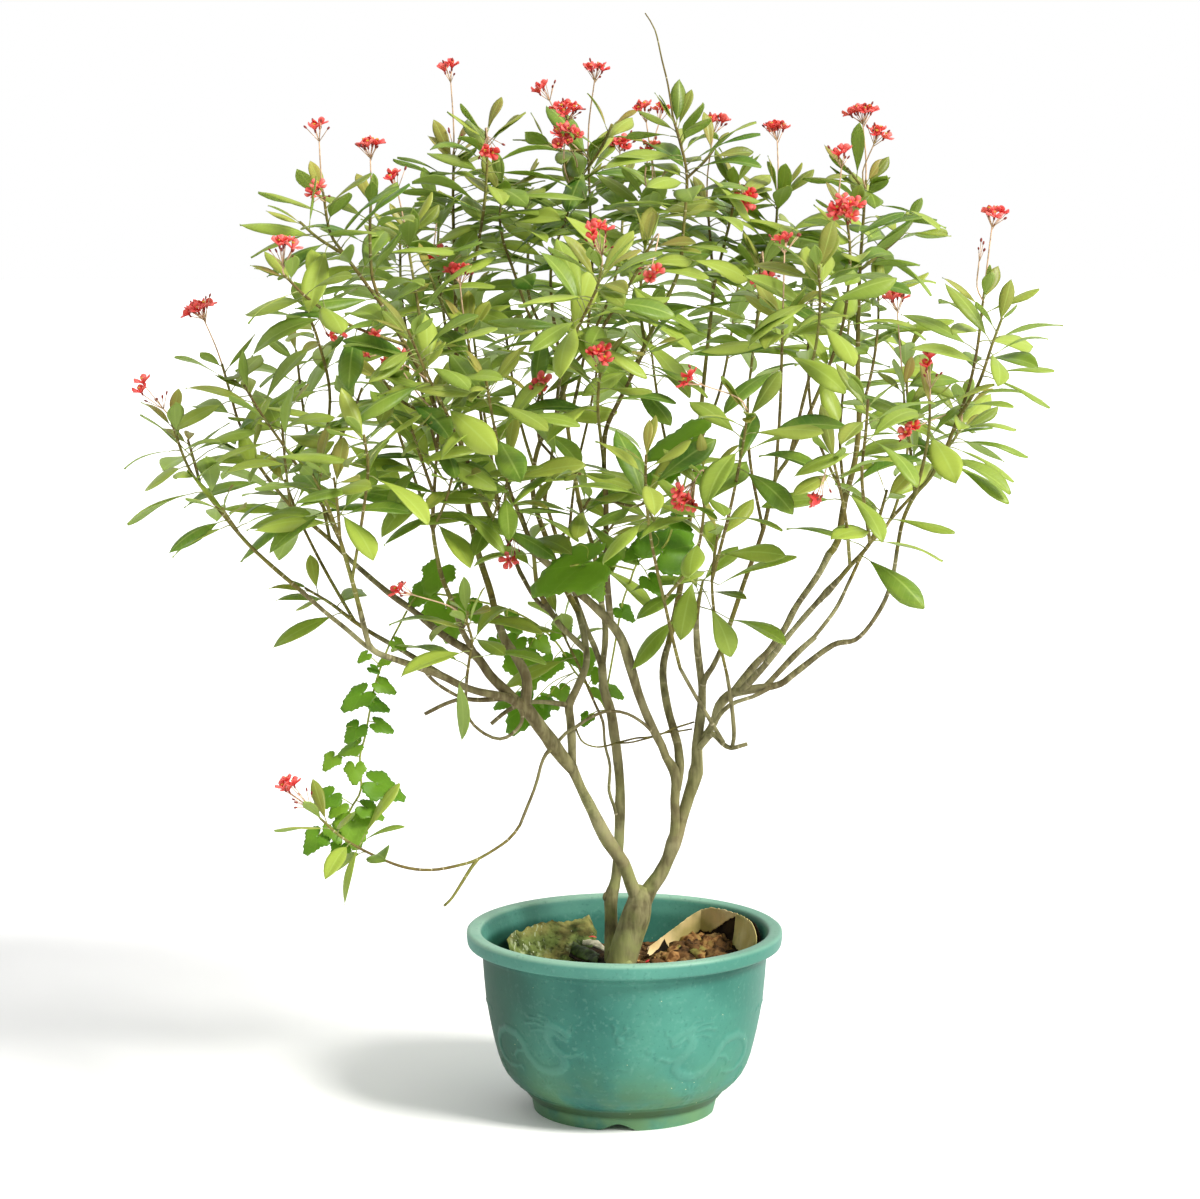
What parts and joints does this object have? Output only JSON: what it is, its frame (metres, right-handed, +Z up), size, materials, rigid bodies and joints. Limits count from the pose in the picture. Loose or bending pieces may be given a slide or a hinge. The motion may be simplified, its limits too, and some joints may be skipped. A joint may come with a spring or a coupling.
{
  "type": "potted jatropha",
  "caption": "Bushy flowering shrub with bare forked wood, leafy stems, red star blooms and a wild twining vine, in a round relief-sided teal plastic pot of soil.",
  "frame": {"origin": "on the pot's axis, on its flat underside", "axes": "+Z up, front view looks along +Y, +X to the viewer's right"},
  "size_m": [1.534, 1.1666, 1.9242],
  "materials": {
    "pot": "teal plastic, satin, scuffed and stained near the foot",
    "soil": "crumbly brown soil, stood in for by stone",
    "moss": "moss-grown matted fibre",
    "sheet": "dry torn sheet, tan",
    "wood": "smooth grey-olive bark",
    "leaf": "yellow-green leaves and young stems, a plant tissue",
    "bloom": "coral-red petals, a plant tissue",
    "vine": "bright green vine leaves and stems, a plant tissue"
  },
  "bodies": {
    "root": {"pot": "pot", "soil": "soil", "mossy_mat": "moss", "torn_sheet": "sheet", "trunk_and_branches": "wood", "vine_stem": "vine", "vine_hanging": "vine", "vine_runner": "vine", "leafy_far_left": "leaf", "leafy_second_left": "leaf", "leafy_left_bough": "leaf", "leafy_left_rise": "leaf", "leafy_left_upright": "leaf", "leafy_grey_stem": "leaf", "leafy_brown_stem": "leaf", "leafy_grey_twig": "leaf", "leafy_mid_left": "leaf", "leafy_back_stem": "leaf", "leafy_crown_stem": "leaf", "leafy_thin_twig": "leaf", "leafy_cross_stem": "leaf", "leafy_dark_upright": "leaf", "leafy_right_inner": "leaf", "leafy_main_right": "leaf", "leafy_hanging_twig": "leaf", "leafy_rising_twig": "leaf", "leafy_right_fork": "leaf", "leafy_outer_right": "leaf", "leafy_knotted_right": "leaf", "leafy_low_right": "leaf", "leafy_thin_right": "leaf", "leafy_loop": "leaf", "leafy_sag": "leaf", "bloom_01": "bloom", "bloom_02": "bloom", "bloom_03": "bloom", "bloom_04": "bloom", "bloom_05": "bloom", "bloom_06": "bloom", "bloom_07": "bloom", "bloom_08": "bloom", "bloom_09": "bloom", "bloom_10": "bloom", "bloom_11": "bloom"}
  },
  "joints": []
}
